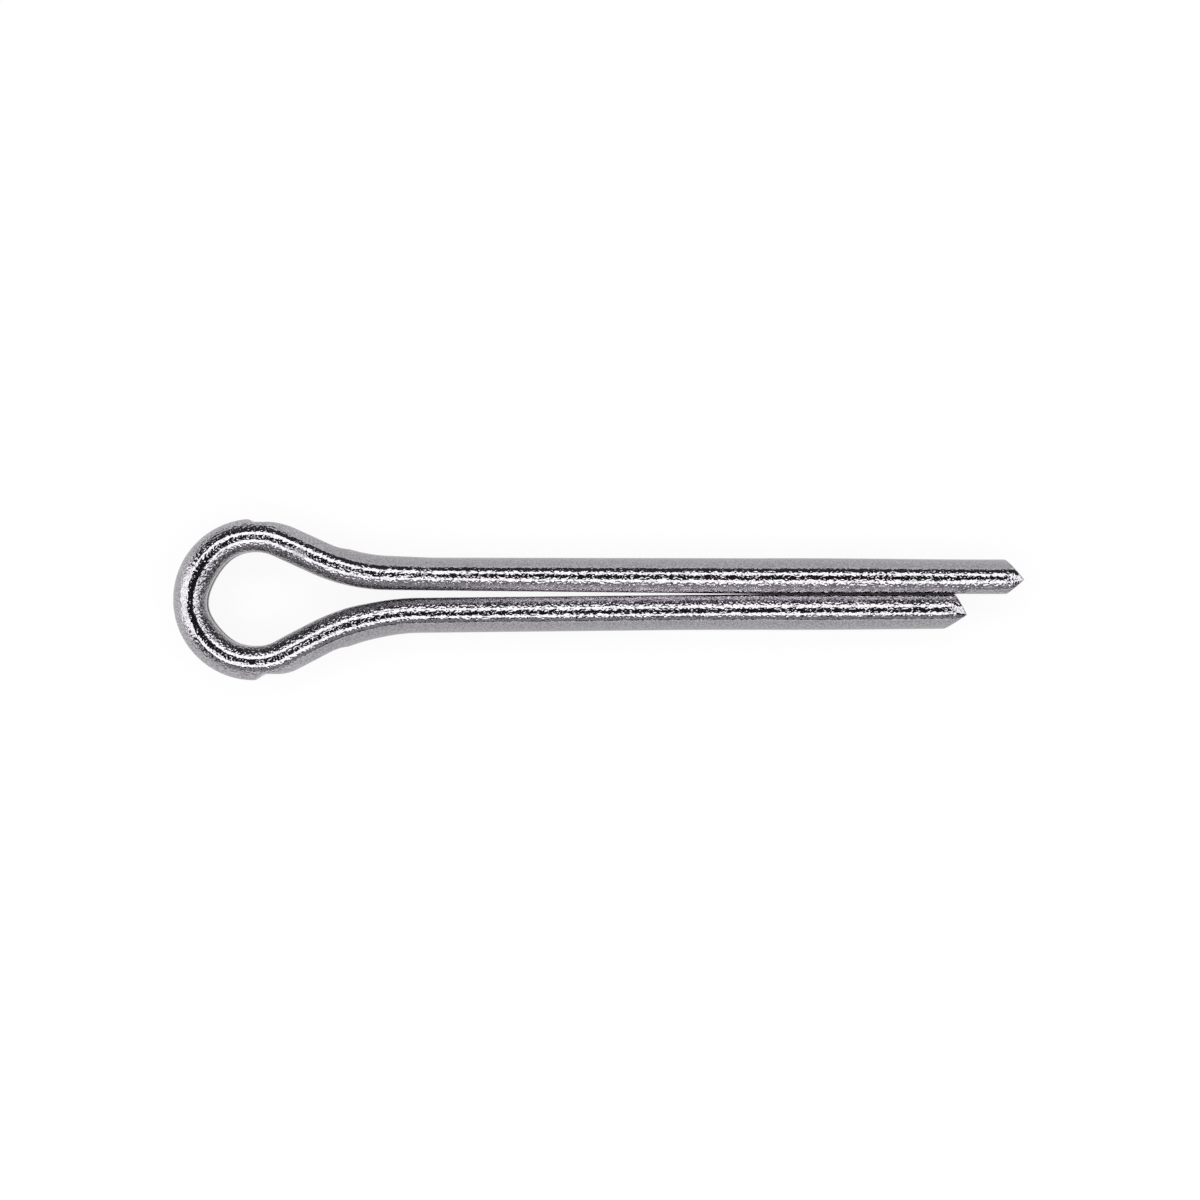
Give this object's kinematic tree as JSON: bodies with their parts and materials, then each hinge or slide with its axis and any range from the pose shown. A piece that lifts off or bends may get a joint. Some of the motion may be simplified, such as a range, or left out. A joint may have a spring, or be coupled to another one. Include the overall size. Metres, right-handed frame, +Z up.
{
  "type": "cotter pin",
  "caption": "Split pin bent from half-round wire: a round eye, a bent neck and closed legs of uneven length. It locks a nut, bolt or clevis pin through a cross hole.",
  "frame": {"origin": "on the shank's axis at the end of the neck, where the pin seats in the mouth of its hole and from where its length is measured", "axes": "+X along the shank from the eye towards the tips, +Y towards the long leg, +Z up through the eye's hole as the pin lies flat"},
  "size_m": [0.0537, 0.0101, 0.0038],
  "materials": {
    "zinc_plate": "bright zinc plate over drawn steel wire, with a fine grain"
  },
  "bodies": {
    "root": {"pin": "zinc_plate"}
  },
  "joints": []
}
